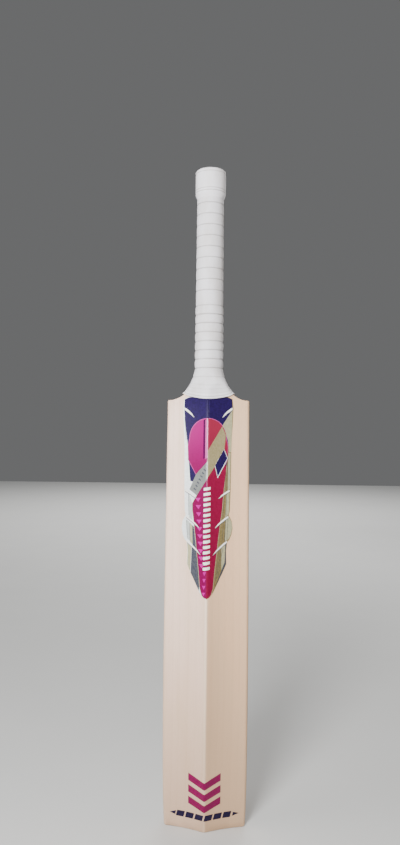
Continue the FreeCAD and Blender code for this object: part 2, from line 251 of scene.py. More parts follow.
# %% The grain group
def grain_group():
    group, t, given, out = new_group(
        "straight_grain",
        [
            ("Vector", "NodeSocketVector", None),
            ("Ring Spacing", "NodeSocketFloat", 0.009),
            ("Waver", "NodeSocketFloat", 0.002),
            ("Fibre Width", "NodeSocketFloat", 0.0009),
        ],
        ["Rings", "Fibres", "Clouds"],
    )
    spot = given["Vector"]
    split = t.split(spot)
    x, y = split["X"], split["Y"]
    slow = t.noise(t.scaled(spot, 22.0, 22.0, 3.2), detail=1.5)
    across = t.math("ADD", x, t.math("MULTIPLY", y, 0.16))
    bent = t.math("MULTIPLY_ADD", t.math("SUBTRACT", slow, 0.5), given["Waver"], across)
    uneven = t.noise(t.add("ShaderNodeCombineXYZ", X=t.math("MULTIPLY", bent, 70.0)).outputs[0])
    spread = t.math("MULTIPLY_ADD", uneven, 1.6, t.math("DIVIDE", bent, given["Ring Spacing"]))
    phase = t.math("FRACT", t.math("ADD", spread, 40.0))
    rise = t.math("POWER", phase, 5.0)
    fall = t.smooth_step(phase, 0.93, 1.0, 1.0, 0.0)
    t.feed(out["Rings"], t.math("MULTIPLY", rise, fall))
    fine = t.math("DIVIDE", 1.0, given["Fibre Width"])
    stretch = t.add("ShaderNodeCombineXYZ", X=fine, Y=fine, Z=14.0).outputs[0]
    fibres = t.add("ShaderNodeVectorMath", {"operation": "MULTIPLY"})
    t.feed(fibres.inputs[0], spot)
    t.feed(fibres.inputs[1], stretch)
    t.feed(out["Fibres"], t.noise(fibres.outputs[0], detail=3.0, roughness=0.6))
    t.feed(out["Clouds"], t.noise(t.scaled(spot, 30.0, 30.0, 5.0), detail=2.0))
    return group


GRAIN = grain_group()
print("group:", GRAIN.name)

# %% [markdown]
# The willow itself is pale cream. On this blade the half to the left of the spine is the whiter
# sapwood and the half to the right is warmer heartwood, so the two are mixed across the ridge; the right
# half is also painted darker, as painted shade for the right flank, which is turned from the main lamp.
# The crest of the spine is painted paler, a painted highlight for the line of light that it catches.
# Towards the toe the wood is painted darker, as painted shade for the light falling away, and the end
# grain at its cut end, which soaks up the oil, is darker still.


# %% Willow
def willow():
    material, t, shader = new_material("oiled_willow")
    spot = object_place(t)
    grain = use_group(t, GRAIN, Vector=spot, Ring_Spacing=0.0095, Waver=0.004, Fibre_Width=0.0008)
    split = t.split(spot)
    # Partly painted shade: the right half is warmer heartwood, and it is also painted darker for the right
    # flank, which is turned away from the main lamp.
    heartwood_and_shade = t.smooth_step(split["X"], -0.002, 0.004)
    base = t.mix(heartwood_and_shade, rgb(240, 208, 190), rgb(230, 188, 150))
    clouds = t.smooth_step(grain["Clouds"], 0.35, 0.7)
    base = t.mix(t.math("MULTIPLY", clouds, 0.4), base, rgb(214, 184, 150))
    base = t.mix(t.math("MULTIPLY", grain["Rings"], 0.16), base, rgb(176, 134, 96))
    fibres = t.smooth_step(grain["Fibres"], 0.42, 0.72)
    base = t.mix(t.math("MULTIPLY", fibres, 0.18), base, rgb(196, 150, 116))
    # Painted highlight: the spine's crest is painted paler, for the line of light it catches from the main
    # lamp.
    crest = t.smooth_step(t.math("ABSOLUTE", split["X"]), 0.0004, 0.0022, 1.0, 0.0)
    crest = t.math("MULTIPLY", crest, t.smooth_step(split["Y"], -0.016, -0.010, 0.6, 0.0))
    base = t.mix(crest, base, rgb(250, 230, 206))
    # Painted shade: the wood is painted darker towards the toe, for the light falling away from the lamps.
    painted_toe_shade = t.smooth_step(split["Z"], 0.0, 0.42, 1.0, 0.0)
    base = t.mix(t.math("MULTIPLY", painted_toe_shade, 0.72), base, rgb(190, 156, 124))
    toe = t.smooth_step(split["Z"], 0.0, 0.0016, 1.0, 0.0)
    base = t.mix(t.math("MULTIPLY", toe, 0.45), base, rgb(170, 132, 96))
    paint(t, shader, base, grain["Fibres"], 0.18, 0.40)
    height = t.math("SUBTRACT", t.math("MULTIPLY", grain["Fibres"], -0.6), grain["Rings"])
    emboss(t, shader, height, 0.12, 0.0004)
    return material


WILLOW = willow()
blade_mesh = merged_copy("willow_blade")
shade_smooth(blade_mesh, 28)
place("willow_blade_oiled", blade_mesh, WILLOW, "willow", "willow_blade")

# %% [markdown]
# ## Cane, springs and twine
# The handle's strips keep the shape that the frame gives them, because they are simply sawn and glued.
# Only their finish is added. Cut across, cane is a bundle of tubes, and its end shows as dark dots,
# so a Voronoi cell pattern is mixed in where the surface faces up.


# %% Cane
def cane():
    material, t, shader = new_material("sawn_cane")
    spot = object_place(t)
    grain = use_group(t, GRAIN, Vector=spot, Ring_Spacing=0.0031, Waver=0.001, Fibre_Width=0.0005)
    split = t.split(spot)
    base = t.mix(grain["Fibres"], rgb(206, 172, 118), rgb(172, 130, 78))
    base = t.mix(t.math("MULTIPLY", grain["Rings"], 0.5), base, rgb(128, 88, 48))
    cells = t.add("ShaderNodeTexVoronoi", {"voronoi_dimensions": "2D"}, Vector=spot, Scale=950.0)
    dots = t.smooth_step(cells.outputs["Distance"], 0.18, 0.34, 1.0, 0.0)
    up = t.split(t.add("ShaderNodeNewGeometry").outputs["Normal"])
    cut_end = t.smooth_step(up["Z"], 0.8, 0.95)
    base = t.mix(t.math("MULTIPLY", dots, cut_end), base, rgb(84, 56, 32))
    paint(t, shader, base, grain["Fibres"], 0.2, 0.45)
    emboss(t, shader, grain["Fibres"], 0.2, 0.0003)
    return material


def black_rubber():
    material, t, shader = new_material("spring_rubber")
    speck = t.noise(t.scaled(object_place(t), 900.0, 900.0, 900.0))
    paint(t, shader, t.mix(speck, rgb(28, 27, 27), rgb(48, 46, 44)), speck, 0.2, 0.6)
    return material


def twine():
    material, t, shader = new_material("glued_twine")
    split = t.split(object_place(t))
    turn = t.math("ARCTAN2", split["Y"], split["X"])
    wound = t.math("MULTIPLY_ADD", split["Z"], 2 * math.pi / 0.0011, turn)
    thread = t.math("ABSOLUTE", t.math("SINE", t.math("MULTIPLY", wound, 0.5)))
    # Painted shade: the gaps between the turns of twine are painted darker.
    paint(t, shader, t.mix(thread, rgb(120, 104, 78), rgb(214, 200, 170)), thread, 0.2, 0.6)
    emboss(t, shader, thread, 0.6, 0.0003)
    return material


CANE, SPRING, TWINE = cane(), black_rubber(), twine()
for prefix, material in (("cane_row", CANE), ("rubber_spring", SPRING), ("twine_binding", TWINE)):
    kept = [node for name, node in NODES.items() if name.startswith(prefix)]
    for node in kept:
        node.material_slots[0].material = material
    print("kept from the frame:", len(kept), prefix)

# %% [markdown]
# ## The grip
# A bat's grip is one moulded rubber tube. Its skirt is stretched over the shoulders, so its shape there
# is the wood's own, and it is found by looking inwards at the frame's grip from all round. Above the
# skirt it is a plain tapering tube, with a thicker collar that ends in a rounded rim. The wall is built
# as rows of points, from the lip up the outside, over the rim and back down the inside, which gives one
# closed skin. Two maps go with it: `ribbed` says how strongly the ribs may show, which is fully on the
# tube and ever less down the skirt, and `crease` marks the fine grooves of the skirt and the collar.

# %% Sizes of the grip
SWEEP_TOP = 0.594
CANE_TOP = 0.852
GRIP_TOP = cad_high.z
CONE_FOOT = 0.815
COLLAR_FOOT = 0.823
COLLAR_RADIUS = 0.01975
FOOT_RADIUS = 0.0180
TOP_RADIUS = 0.0172
RIM_ROUND = 0.0030
OPENING_RADIUS = 0.0132
WALL = 0.0017
SKIRT_WALL = 0.0019
LIP_MIDDLE = 0.5540
LIP_SAG = 0.0051
LIP_HALF = 0.031
AROUND = 112
SKIRT_ROWS = 90
ROW_STEP = 0.00046
COLLAR_ROW_STEP = 0.0003
RIBS_START = 0.563
RIBS_FADE = 0.028
BLEND_HEIGHT = 0.012

# Height above the lip and strength of each crease, then height and depth of each ring groove.
SKIRT_CREASES = ((0.0025, 1.0), (0.0068, 0.5), (0.0118, 0.5), (0.0172, 0.5))
COLLAR_GROOVES = ((0.8240, 0.00060), (0.8272, 0.00050), (GRIP_TOP - 0.0046, 0.00035))


# %% Rows of the grip
def dip(z, at, width):
    """A smooth dip that is 1 deep at a height and gone a few widths away."""
    return np.exp(-(((z - at) / width) ** 2))


def lip_height(x):
    """Height of the skirt's lower edge, which hangs lowest at the spine and the face."""
    return LIP_MIDDLE + LIP_SAG * (x / LIP_HALF) ** 2


def tube_radius(z):
    """Outside of the tube between the skirt and the collar."""
    share = (z - SWEEP_TOP) / (COLLAR_FOOT - SWEEP_TOP)
    return FOOT_RADIUS + (TOP_RADIUS - FOOT_RADIUS) * share


def collar_radius(z):
    """The cone below the collar and the collar itself, with its ring grooves."""
    share = min(max((z - CONE_FOOT) / (COLLAR_FOOT - CONE_FOOT), 0.0), 1.0)
    ease = share * share * (3 - 2 * share)
    radius = tube_radius(z) + (COLLAR_RADIUS - tube_radius(z)) * ease
    return radius - sum(depth * dip(z, at, 0.00045) for at, depth in COLLAR_GROOVES)


def skirt_radius():
    """Looks inwards at the frame's grip and returns its outside radius at (angle, height)."""
    solid = merged_copy("rubber_grip")
    look = BVHTree.FromPolygons(
        [v.co[:] for v in solid.vertices], [p.vertices[:] for p in solid.polygons]
    )
    bpy.data.meshes.remove(solid)

    def radius(angle, z):
        out = Vector((math.cos(angle), math.sin(angle), 0.0))
        hit = look.ray_cast(Vector((0, 0, z)) + out * 0.08, -out)
        return Vector(hit[0].xy).length if hit[0] else None

    return radius


def skirt_rows():
    """Radius and height of the skirt's rows, bottom first, as arrays of (row, angle)."""
    measured = skirt_radius()
    angles = 2 * math.pi * np.arange(AROUND) / AROUND
    radii, heights = np.zeros((SKIRT_ROWS, AROUND)), np.zeros((SKIRT_ROWS, AROUND))
    for column, angle in enumerate(angles):
        wide = measured(angle, LIP_MIDDLE + LIP_SAG + 0.001)
        low = lip_height(wide * math.cos(angle))
        for row in range(SKIRT_ROWS):
            share = row / (SKIRT_ROWS - 1)
            z = low + (SWEEP_TOP - low) * share
            near = measured(angle, min(max(z, low + 0.0009), SWEEP_TOP - 0.0006))
            radii[row, column] = near if near else wide
            heights[row, column] = z
    for _ in range(8):
        radii[1:-1] = (radii[:-2] + 2 * radii[1:-1] + radii[2:]) / 4
        radii = (np.roll(radii, 1, 1) + 2 * radii + np.roll(radii, -1, 1)) / 4
    blend = np.clip((heights - (SWEEP_TOP - BLEND_HEIGHT)) / BLEND_HEIGHT, 0, 1) ** 2
    tube = FOOT_RADIUS + (heights - SWEEP_TOP) * (TOP_RADIUS - FOOT_RADIUS) / (COLLAR_FOOT - SWEEP_TOP)
    return radii * (1 - blend) + tube * blend, heights


# %% Join the rows into one skin
def grip_mesh():
    """The grip's closed skin, with how strongly ribs show and how deep each crease is."""
    radii, heights = skirt_rows()
    above = heights - heights[0]
    creases = sum(deep * dip(above, at, 0.00055) for at, deep in SKIRT_CREASES)
    lip_bead = dip(above, 0.0009, 0.0008)
    radii += 0.0005 * lip_bead - 0.0003 * creases
    ribbed = np.clip((heights - RIBS_START) / RIBS_FADE, 0, 1)
    rows = [(radii[i], heights[i], ribbed[i], creases[i]) for i in range(SKIRT_ROWS)]

    def ring(radius, z, ribs=0.0, crease=0.0):
        rows.append(tuple(np.full(AROUND, value) for value in (radius, z, ribs, crease)))

    for z in np.arange(SWEEP_TOP + ROW_STEP, CONE_FOOT, ROW_STEP):
        ring(tube_radius(z), z, 1.0)
    for z in np.arange(CONE_FOOT, GRIP_TOP - RIM_ROUND, COLLAR_ROW_STEP):
        crease = sum(dip(z, at, 0.0005) for at, _ in COLLAR_GROOVES)
        ring(collar_radius(z), z, 0.0, crease)
    for turn in np.linspace(0.1, math.pi / 2, 9):
        ring(
            COLLAR_RADIUS - RIM_ROUND * (1 - math.cos(turn)),
            GRIP_TOP - RIM_ROUND * (1 - math.sin(turn)),
        )
    ring(OPENING_RADIUS + 0.0006, GRIP_TOP)
    ring(OPENING_RADIUS, GRIP_TOP - 0.0005)
    ring(OPENING_RADIUS, CANE_TOP)
    ring(TOP_RADIUS - 0.0022, CANE_TOP)
    ring(tube_radius(CANE_TOP) - WALL, CANE_TOP - 0.002)
    ring(FOOT_RADIUS - WALL, SWEEP_TOP)
    for i in range(SKIRT_ROWS - 6, 0, -6):
        rows.append((radii[i] - SKIRT_WALL, heights[i], ribbed[0], ribbed[0]))
    rows.append((radii[0] - SKIRT_WALL * 0.9, heights[0] + 0.0002, ribbed[0], ribbed[0]))
    rows.append((radii[0] - SKIRT_WALL * 0.5, heights[0] - 0.0004, ribbed[0], ribbed[0]))

    angles = 2 * math.pi * np.arange(AROUND) / AROUND
    points = np.concatenate(
        [np.stack([r * np.cos(angles), r * np.sin(angles), z], axis=1) for r, z, _, _ in rows]
    )
    total = len(rows)
    faces = []
    for i in range(total):
        here, above = i * AROUND, (i + 1) % total * AROUND
        for j in range(AROUND):
            k = (j + 1) % AROUND
            faces.append((here + j, here + k, above + k, above + j))
    mesh = bpy.data.meshes.new("grip_skin")
    mesh.from_pydata(points.tolist(), [], faces)
    for name, column in (("ribbed", 2), ("crease", 3)):
        mask = mesh.attributes.new(name, "FLOAT", "POINT")
        values = np.concatenate([row[column] for row in rows])
        mask.data.foreach_set("value", values.astype(np.float32))
    mesh.validate()
    return mesh


plain_grip = grip_mesh()
print("grip rows:", len(plain_grip.vertices) // AROUND)

# %% [markdown]
# The ribs repeat, so they are left to Geometry Nodes. The tube is divided by ring grooves: nine wide
# bands under the collar, one plain band, and narrower bands below it. For every point the tree works
# out how far it lies from the nearest groove, cuts the groove and swells the band between, and keeps
# the groove's depth as an attribute, so that the rubber can be painted darker down there, as painted
# shade. All of the sizes are inputs of the tree.

# %% The rib tree
RIB_INPUTS = {
    "Collar Foot": COLLAR_FOOT,
    "Upper Pitch": 0.01425,
    "Upper Bands": 9.0,
    "Plain Band": 0.0196,
    "Lower Pitch": 0.01162,
    "Groove Width": 0.0011,
    "Groove Depth": 0.00075,
    "Upper Swell": 0.00026,
    "Lower Swell": 0.00062,
}


def rib_tree():
    sizes = [(label, "NodeSocketFloat", value) for label, value in RIB_INPUTS.items()]
    group, t, given, out = new_shaping_tree(
        "ribbed_sleeve", [*sizes, ("Rubber", "NodeSocketMaterial", None)]
    )
    spot = t.split(t.add("GeometryNodeInputPosition").outputs[0])
    below = t.math("SUBTRACT", given["Collar Foot"], spot["Z"])
    upper_length = t.math("MULTIPLY", given["Upper Pitch"], given["Upper Bands"])
    below_upper = t.math("SUBTRACT", below, upper_length)
    below_plain = t.math("SUBTRACT", below_upper, given["Plain Band"])

    def choose(test, if_true, if_false):
        node = t.add("GeometryNodeSwitch", {"input_type": "FLOAT"})
        t.feed(node.inputs["Switch"], test)
        t.feed(node.inputs["True"], if_true)
        t.feed(node.inputs["False"], if_false)
        return node.outputs[0]

    in_lower = t.math("GREATER_THAN", below_plain, 0.0)
    in_plain = t.math("GREATER_THAN", below_upper, 0.0)
    upper_or_plain = choose(in_plain, given["Plain Band"], given["Upper Pitch"])
    pitch = choose(in_lower, given["Lower Pitch"], upper_or_plain)
    start = choose(in_lower, below_plain, choose(in_plain, below_upper, below))
    phase = t.math("FRACT", t.math("DIVIDE", start, pitch))
    nearest = t.math("MULTIPLY", t.math("MINIMUM", phase, t.math("SUBTRACT", 1.0, phase)), pitch)
    half = t.math("MULTIPLY", given["Groove Width"], 0.5)
    distance = t.math("POWER", t.math("DIVIDE", nearest, half), 2.0)
    groove = t.math("EXPONENT", t.math("MULTIPLY", distance, -1.0))
    middle = t.math("SUBTRACT", t.math("MULTIPLY", phase, 2.0), 1.0)
    swell = t.math("SUBTRACT", 1.0, t.math("POWER", t.math("ABSOLUTE", middle), 2.5))
    mask, crease = (
        t.add("GeometryNodeInputNamedAttribute", {"data_type": "FLOAT"}, Name=name).outputs[0]
        for name in ("ribbed", "crease")
    )
    rise = t.math("MULTIPLY", swell, choose(in_lower, given["Lower Swell"], given["Upper Swell"]))
    rise = t.math("SUBTRACT", rise, t.math("MULTIPLY", groove, given["Groove Depth"]))
    rise = t.math("MULTIPLY", rise, mask)
    level = t.add("ShaderNodeCombineXYZ", X=spot["X"], Y=spot["Y"]).outputs[0]
    outwards = t.add("ShaderNodeVectorMath", {"operation": "NORMALIZE"})
    t.feed(outwards.inputs[0], level)
    move = t.add("ShaderNodeVectorMath", {"operation": "SCALE"}, Scale=rise)
    t.feed(move.inputs[0], outwards.outputs[0])
    on_points = {"data_type": "FLOAT", "domain": "POINT"}
    keep = t.add("GeometryNodeStoreNamedAttribute", on_points, Name="groove")
    t.feed(keep.inputs["Geometry"], given["Geometry"])
    t.feed(keep.inputs["Value"], t.math("MAXIMUM", t.math("MULTIPLY", groove, mask), crease))
    ribbed = t.add("GeometryNodeSetPosition", Geometry=keep.outputs[0], Offset=move.outputs[0])
    real = t.add("GeometryNodeRealizeInstances", Geometry=ribbed.outputs[0])
    finish = t.add("GeometryNodeSetMaterial", Geometry=real.outputs[0], Material=given["Rubber"])
    t.feed(out[0], finish.outputs[0])
    return group


RIBS = rib_tree()
print("tree:", RIBS.name, "with", len(RIB_INPUTS), "sizes")


# %% [markdown]
# A tree is run by putting it on an object as a modifier. Its inputs are set by their identifiers, then
# the evaluated result is copied into a plain mesh and the carrier is thrown away, so that nothing
# live is left.


# %% Run a tree on a mesh
def grown(mesh, tree, values):
    """The mesh that a Geometry Nodes tree makes out of this one."""
    carrier = new_object("carrier", mesh)
    modifier = carrier.modifiers.new("tree", "NODES")
    modifier.node_group = tree
    for item in tree.interface.items_tree:
        if item.in_out == "INPUT" and item.name in values:
            modifier[item.identifier] = values[item.name]
    seen = carrier.evaluated_get(bpy.context.evaluated_depsgraph_get())
    result = bpy.data.meshes.new_from_object(seen)
    carrier.modifiers.remove(modifier)
    bpy.data.objects.remove(carrier)
    return result


# %% [markdown]
# The grip's rubber is off-white and matt, with a fine diamond hatching moulded in. Two sets of slanting
# lines make the diamonds, each a little under two millimetres high and wide. They are far too fine to
# model, so they are bump, and their hollows are painted darker as painted shade, as are the grooves
# that the ribs left behind.


# %% Rubber with cross hatching
HATCH_LINES = 64.0
HATCH_PITCH = 0.00177


def hatch_group():
    group, t, given, out = new_group(
        "cross_hatching",
        [
            ("Vector", "NodeSocketVector", None),
            ("Lines Around", "NodeSocketFloat", HATCH_LINES),
            ("Pitch", "NodeSocketFloat", HATCH_PITCH),
        ],
        ["Height"],
    )
    split = t.split(given["Vector"])
    turn = t.math("ARCTAN2", split["Y"], split["X"])
    around = t.math("MULTIPLY", turn, t.math("MULTIPLY", given["Lines Around"], 0.5))
    along = t.math("MULTIPLY", t.math("DIVIDE", split["Z"], given["Pitch"]), math.pi)
    lines = []
    for operation in ("ADD", "SUBTRACT"):
        wave = t.math("ABSOLUTE", t.math("SINE", t.math(operation, around, along)))
        lines.append(t.math("POWER", wave, 0.6))
    t.feed(out["Height"], t.math("MULTIPLY", *lines))
    return group


HATCHING = hatch_group()
print("group:", HATCHING.name)


def grip_rubber():
    material, t, shader = new_material("hatched_grip_rubber")
    spot = object_place(t)
    split = t.split(spot)
    hatching = use_group(t, HATCHING, Vector=spot, Lines_Around=HATCH_LINES, Pitch=HATCH_PITCH)
    hatch = hatching["Height"]
    groove = t.add("ShaderNodeAttribute", {"attribute_name": "groove"}).outputs["Fac"]
    on_tube = t.smooth_step(split["Z"], CONE_FOOT, CONE_FOOT + 0.002, 1.0, 0.0)
    above_lip = t.smooth_step(split["Z"], 0.560, 0.564)
    shown = t.math("MULTIPLY", t.math("MULTIPLY", on_tube, above_lip), t.math("SUBTRACT", 1.0, groove))
    handled = t.noise(t.scaled(spot, 60.0, 60.0, 24.0), detail=3.0)
    base = t.mix(t.smooth_step(handled, 0.35, 0.75), rgb(230, 228, 233), rgb(214, 210, 210))
    # Painted shade: the hollows of the hatching are painted darker.
    shade = t.math("MULTIPLY", t.math("SUBTRACT", 1.0, hatch), t.math("MULTIPLY", shown, 0.30))
    base = t.mix(shade, base, rgb(160, 154, 148))
    # Painted shade: the grooves and the creases of the skirt and collar are painted darker.
    base = t.mix(t.math("MULTIPLY", groove, 0.6), base, rgb(140, 134, 128))
    paint(t, shader, base, handled, 0.16, 0.50)
    shader.inputs["Specular IOR Level"].default_value = 0.35
    fine = t.noise(t.scaled(spot, 1600.0, 1600.0, 1600.0))
    height = t.math("MULTIPLY_ADD", fine, 0.25, t.math("MULTIPLY", hatch, shown))
    emboss(t, shader, height, 0.55, 0.0003)
    return material


RUBBER = grip_rubber()
grip = grown(plain_grip, RIBS, {**RIB_INPUTS, "Rubber": RUBBER})
shade_smooth(grip, 50)
place("ribbed_grip", grip, RUBBER, "grip_rubber", "rubber_grip")

# %% [markdown]
# ## The back, as a surface to lay stickers on
# A sticker follows the blade, so its place has to be known everywhere on the back. The frame's solids
# are made of flat facets, which would show in gloss. Rays dropped on them give a cloud of heights, and
# a smooth polynomial is fitted through it: one for the flanks, which mirror each other, and a small
# parabola over the softened ridge.


# %% Fit the back
RIDGE_HALF = 0.0024
LABEL_Z = (0.006, 0.558)
FLANK_MIDDLE = 0.025
SHOULDER_Z = 0.545
REACH_BELOW, REACH_ABOVE = 0.049, 0.033
FIT_TERMS = (6, 20)
SMALL = 1e-4


def fitted_back():
    points, polygons = [], []
    for name, node in NODES.items():
        if name == "willow_blade" or name.startswith("cane_row4"):
            start = len(points)
            points += [v.co[:] for v in node.data.vertices]
            polygons += [[start + i for i in p.vertices] for p in node.data.polygons]
    look = BVHTree.FromPolygons(points, polygons)
    rows = []
    levels = [np.linspace(LABEL_Z[0], 0.54, 120), np.linspace(0.541, LABEL_Z[1], 30)]
    for z in np.concatenate(levels):
        reach = REACH_BELOW if z < SHOULDER_Z else REACH_ABOVE
        for x in np.linspace(RIDGE_HALF, reach, 24):
            hit = look.ray_cast(Vector((x, -0.1, z)), Vector((0, 1, 0)))
            if hit[0]:
                rows.append((x, z, hit[0].y))
    cloud = np.array(rows)
    span = LABEL_Z[1] - LABEL_Z[0]

    def scaled(x, z):
        """Both measures as numbers from about -1 to 1, which the polynomial wants."""
        return x / FLANK_MIDDLE - 1, 2 * (z - LABEL_Z[0]) / span - 1

    table = np.polynomial.chebyshev.chebvander2d(*scaled(cloud[:, 0], cloud[:, 1]), FIT_TERMS)
    fit = np.linalg.lstsq(table, cloud[:, 2], rcond=None)[0]
    fit = fit.reshape(FIT_TERMS[0] + 1, FIT_TERMS[1] + 1)
    miss = np.abs(table @ fit.ravel() - cloud[:, 2]).max()
    print("back fitted to", round(miss * 1000, 3), "mm")

    def flank(x, z):
        return np.polynomial.chebyshev.chebval2d(*np.broadcast_arrays(*scaled(x, z)), fit)

    def back(x, z):
        """The y of the back at (x, z), for arrays."""
        side = np.abs(x)
        clear = np.maximum(side, RIDGE_HALF)
        slope = (flank(RIDGE_HALF + SMALL, z) - flank(RIDGE_HALF, z)) / SMALL
        crest = np.where(side < RIDGE_HALF, slope * (RIDGE_HALF**2 - side**2) / (2 * RIDGE_HALF), 0.0)
        return flank(clear, z) - crest

    return back


back_y = fitted_back()

# %% [markdown]
# ## Flat art
# All printed shapes are drawn flat, as outlines across and up the bat in millimetres, then cut into a
# fine grid, so that they can bend, and laid on the back. A second copy of the skin a hair further out
# gives each print its thickness, and the edges between are closed.

# %% Lay flat shapes on the back
GRID_X = [0.0, 1.2, 2.4] + [4.0 + 3.0 * i for i in range(14)]
GRID_Z_STEP = 4.0
VINYL_TOP = 0.16
FIRST_INK = 0.13
INK_STEP = 0.03


def flat_mesh(outlines):
    """Flat faces in the XZ plane, from lists of (x, z) corners in millimetres."""
    work = bmesh.new()
    for corners in outlines:
        ring = [work.verts.new((x * MM, 0.0, z * MM)) for x, z in corners]
        work.faces.new(ring)
    work.normal_update()
    bmesh.ops.triangulate(work, faces=work.faces)
    mesh = bpy.data.meshes.new("flat_art")
    work.to_mesh(mesh)
    work.free()
    return mesh


def laid_on_back(flat, low, high):
    """A flat mesh bent over the back and made solid, from low to high above the wood, in mm."""
    work = bmesh.new()
    work.from_mesh(flat)
    work.normal_update()
    heights = [v.co.z for v in work.verts]
    cuts = [Vector((s * x * MM, 0, 0)) for x in GRID_X for s in (-1, 1)]
    first = math.floor(min(heights) / MM / GRID_Z_STEP)
    last = math.ceil(max(heights) / MM / GRID_Z_STEP)
    levels = [Vector((0, 0, i * GRID_Z_STEP * MM)) for i in range(first, last + 1)]
    for places, normal in ((cuts, (1, 0, 0)), (levels, (0, 0, 1))):
        for spot in places:
            everything = work.verts[:] + work.edges[:] + work.faces[:]
            bmesh.ops.bisect_plane(work, geom=everything, dist=1e-7, plane_co=spot, plane_no=normal)
    top = bmesh.ops.extrude_face_region(work, geom=work.faces[:], use_keep_orig=True)["geom"]
    outer = {v for v in top if isinstance(v, bmesh.types.BMVert)}
    points = np.array([v.co[:] for v in work.verts])
    x, z = points[:, 0], points[:, 2]
    tilt_x = (back_y(x + SMALL, z) - back_y(x - SMALL, z)) / (2 * SMALL)
    tilt_z = (back_y(x, z + SMALL) - back_y(x, z - SMALL)) / (2 * SMALL)
    lean = np.sqrt(1 + tilt_x**2 + tilt_z**2)
    surface = back_y(x, z)
    for i, v in enumerate(work.verts):
        v.co.y = surface[i] - (high if v in outer else low) * MM * lean[i]
    return mesh_from(work, flat.name)


def print_piece(name, outlines, layer, material, slot, *stands_for):
    """A printed shape. Layer 0 is the vinyl itself and each further layer lies just over the last."""
    flat = flat_mesh(outlines) if isinstance(outlines, list) else outlines
    low = FIRST_INK + INK_STEP * (layer - 1) if layer else 0.0
    mesh = laid_on_back(flat, low, VINYL_TOP + INK_STEP * layer)
    shade_smooth(mesh, 40)
    place(name, mesh, material, slot, *stands_for)


# %% [markdown]
# ## Vinyl and foil
# The label is printed on satin vinyl, with metal foil at its sides. The inks are a little uneven, and
# the clear film over them has fine scuffs and a slight ripple. One group gives those three patterns,
# and each ink is a material with its own colours.


# %% Inks and foils
def film_group():
    group, t, given, out = new_group(
        "printed_film", [("Vector", "NodeSocketVector", None)], ["Mottle", "Scuffs", "Ripple"]
    )
    spot = given["Vector"]
    t.feed(out["Mottle"], t.noise(t.scaled(spot, 420.0, 420.0, 420.0), detail=3.0))
    t.feed(out["Scuffs"], t.noise(t.scaled(spot, 900.0, 900.0, 60.0), detail=2.0))
    t.feed(out["Ripple"], t.noise(t.scaled(spot, 70.0, 70.0, 22.0), detail=1.0))
    return group


FILM = film_group()
print("group:", FILM.name)


def ink(name, colour, second, metallic=0.0, roughness=0.34, coat=0.15, painted_glare=None):
    """A printed colour that drifts between two, with an optional painted highlight towards the top."""
    material, t, shader = new_material(name)
    spot = object_place(t)
    film = use_group(t, FILM, Vector=spot)
    base = t.mix(t.smooth_step(film["Mottle"], 0.35, 0.65), colour, second)
    # Painted highlight: towards the top the ink is painted lighter, for the glare of the main lamp on the
    # glossy label.
    if painted_glare:
        split = t.split(spot)
        base = t.mix(t.smooth_step(split["Z"], 0.44, 0.53), base, painted_glare)
    paint(t, shader, base, film["Scuffs"], 0.15, roughness - 0.07)
    shader.inputs["Metallic"].default_value = metallic
    shader.inputs["Specular IOR Level"].default_value = 0.12
    shader.inputs["Coat Weight"].default_value = coat
    shader.inputs["Coat Roughness"].default_value = 0.12
    emboss(t, shader, film["Ripple"], 0.1, 0.0004)
    return material


SILVER = ink("silver_foil", rgb(236, 240, 240), rgb(224, 228, 228), metallic=0.2, roughness=0.32)
ASH = ink("ash_foil", rgb(190, 195, 192), rgb(178, 183, 180), metallic=0.25, roughness=0.34)
PEWTER = ink("pewter_foil", rgb(126, 129, 126), rgb(116, 119, 116), metallic=0.3, roughness=0.34)
PALE_GOLD = ink("pale_gold_foil", rgb(164, 152, 114), rgb(152, 140, 102), metallic=0.35, roughness=0.36)
GOLD = ink("gold_foil", rgb(142, 126, 84), rgb(130, 114, 72), metallic=0.4, roughness=0.36)
SAGE = ink("sage_foil", rgb(176, 172, 138), rgb(164, 160, 126), metallic=0.25, roughness=0.36)
SLATE = ink("slate_foil", rgb(82, 84, 92), rgb(68, 70, 80), metallic=0.35, roughness=0.38)
NAVY = ink("navy_ink", rgb(34, 20, 70), rgb(28, 18, 58))
MAGENTA = ink("magenta_ink", rgb(116, 0, 68), rgb(108, 0, 62), painted_glare=rgb(150, 4, 104))
CRIMSON = ink("crimson_ink", rgb(124, 14, 54), rgb(116, 12, 48), painted_glare=rgb(134, 34, 58))
PLUM = ink("plum_ink", rgb(76, 0, 62), rgb(64, 0, 52))
PINK = ink("pink_ink", rgb(180, 0, 134), rgb(168, 0, 124))
BLUSH = ink("blush_ink", rgb(190, 84, 150), rgb(176, 76, 138))
WHITE = ink("white_ink", rgb(240, 238, 232), rgb(228, 226, 220))
TOE_MAGENTA = ink("toe_magenta_ink", rgb(124, 0, 72), rgb(112, 0, 64))
TOE_NAVY = ink("toe_navy_ink", rgb(24, 12, 52), rgb(18, 10, 42))
print("inks:", sum(m.name.endswith(("ink", "foil")) for m in bpy.data.materials))

# %% [markdown]
# ## The label
# The label is a plain design of panels: a navy head, a shield split down the spine in magenta and
# crimson, foil wings either side, slanting bands, and light ticks. It carries no name and no picture.
# The vinyl has the frame's outline and tucks up to the grip's lip. The panels are drawn over it from
# back to front, each a layer up.

# %% The outline of the label
HEAD = 556.5


def label_piece(name, outlines, layer, material, *stands_for):
    print_piece("label_" + name, outlines, layer, material, "spine_vinyl", *stands_for)


